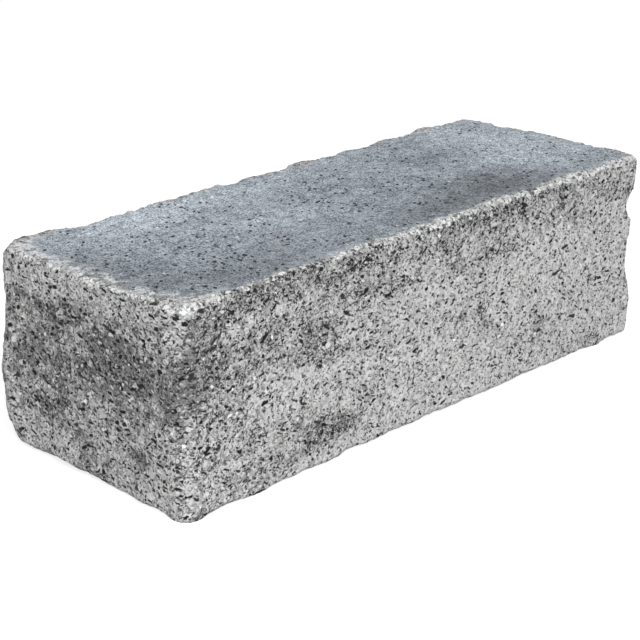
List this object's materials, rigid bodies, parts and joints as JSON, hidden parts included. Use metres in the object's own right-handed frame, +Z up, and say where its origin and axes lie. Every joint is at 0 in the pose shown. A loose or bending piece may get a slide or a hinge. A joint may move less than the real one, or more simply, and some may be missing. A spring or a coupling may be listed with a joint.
{
  "type": "garden wall block",
  "caption": "Solid rectangular concrete walling block with flat cast bed faces above and below, rough split faces on all four sides and worn, chipped arrises.",
  "frame": {"origin": "middle of the lower bed face, which rests on the ground or on the course below", "axes": "+X along the block's length, +Y from the front face to the back face, +Z up, square to both bed faces"},
  "size_m": [0.407, 0.1601, 0.12],
  "materials": {
    "concrete": "rough, matte"
  },
  "bodies": {
    "root": {"wall_block": "concrete"}
  },
  "joints": []
}
